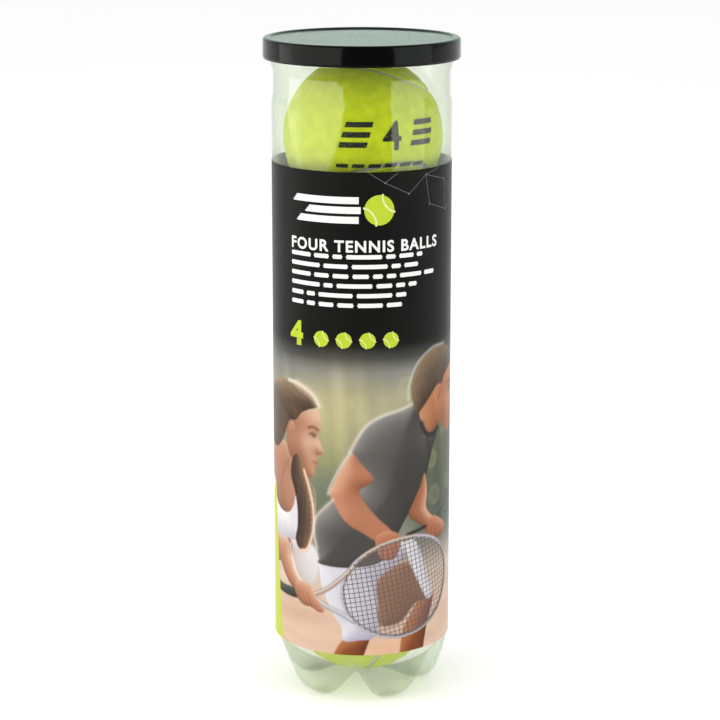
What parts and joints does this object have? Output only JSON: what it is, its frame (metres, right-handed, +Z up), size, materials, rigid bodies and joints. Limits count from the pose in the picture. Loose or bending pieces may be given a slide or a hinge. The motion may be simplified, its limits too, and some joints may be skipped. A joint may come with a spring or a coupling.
{
  "type": "tennis ball can",
  "caption": "Clear plastic can of tennis balls with petal base, wrap label, pull-open metal end and black snap lid; balls, lid and tab move.",
  "frame": {"origin": "on the surface that the can stands on, at the tube's axis", "axes": "+Z up along the tube's axis, the front of the label faces -Y, +X to its right"},
  "size_m": [0.0816, 0.0816, 0.2786],
  "materials": {
    "clear_plastic": "clear",
    "label_film": "gloss",
    "aluminium_end": "satin",
    "aluminium_tab": "satin",
    "sealant": "matte",
    "ball_rubber": "matte",
    "ball_felt": "matte",
    "ball_seam": "matte",
    "lid_plastic": "gloss"
  },
  "bodies": {
    "can": {"can_base": "clear_plastic", "can_wall_lower": "clear_plastic", "can_wall_upper": "clear_plastic", "can_neck": "clear_plastic", "label_wrap": "label_film", "seam_ring": "aluminium_end", "sealing_compound": "sealant"},
    "ball_1": {"ball_1_core_lower": "ball_rubber", "ball_1_core_upper": "ball_rubber", "ball_1_felt_a": "ball_felt", "ball_1_felt_b": "ball_felt", "ball_1_seam": "ball_seam"},
    "ball_2": {"ball_2_core_lower": "ball_rubber", "ball_2_core_upper": "ball_rubber", "ball_2_felt_a": "ball_felt", "ball_2_felt_b": "ball_felt", "ball_2_seam": "ball_seam"},
    "ball_3": {"ball_3_core_lower": "ball_rubber", "ball_3_core_upper": "ball_rubber", "ball_3_felt_a": "ball_felt", "ball_3_felt_b": "ball_felt", "ball_3_seam": "ball_seam"},
    "ball_4": {"ball_4_core_lower": "ball_rubber", "ball_4_core_upper": "ball_rubber", "ball_4_felt_a": "ball_felt", "ball_4_felt_b": "ball_felt", "ball_4_seam": "ball_seam"},
    "end_panel": {"tear_panel": "aluminium_end", "tab_rivet": "aluminium_end"},
    "pull_tab": {"pull_tab": "aluminium_tab"},
    "lid": {"lid": "lid_plastic"}
  },
  "joints": [
    {"name": "ball_1_slide", "type": "slide", "parent": "can", "child": "ball_1", "axis": [0, 0, 1], "range_m": [0, 0.275]},
    {"name": "ball_2_slide", "type": "slide", "parent": "ball_1", "child": "ball_2", "axis": [0, 0, 1], "range_m": [0, 0.208]},
    {"name": "ball_3_slide", "type": "slide", "parent": "ball_2", "child": "ball_3", "axis": [0, 0, 1], "range_m": [0, 0.142]},
    {"name": "ball_4_slide", "type": "slide", "parent": "ball_3", "child": "ball_4", "axis": [0, 0, 1], "range_m": [0, 0.076]},
    {"name": "panel_tear_off", "type": "slide", "parent": "ball_4", "child": "end_panel", "axis": [0, 0, 1], "range_m": [0, 0.05]},
    {"name": "lid_lift", "type": "slide", "parent": "end_panel", "child": "lid", "axis": [0, 0, 1], "range_m": [0, 0.06]},
    {"name": "tab_hinge", "type": "hinge", "parent": "end_panel", "child": "pull_tab", "pos_m": [0, 0.0333, 0.27175], "axis": [-1, 0, 0], "range_deg": [0, 75]}
  ],
  "couplings": [
    {"joint": "tab_hinge", "follows": "lid_lift", "rad_per_m": 21.8}
  ]
}
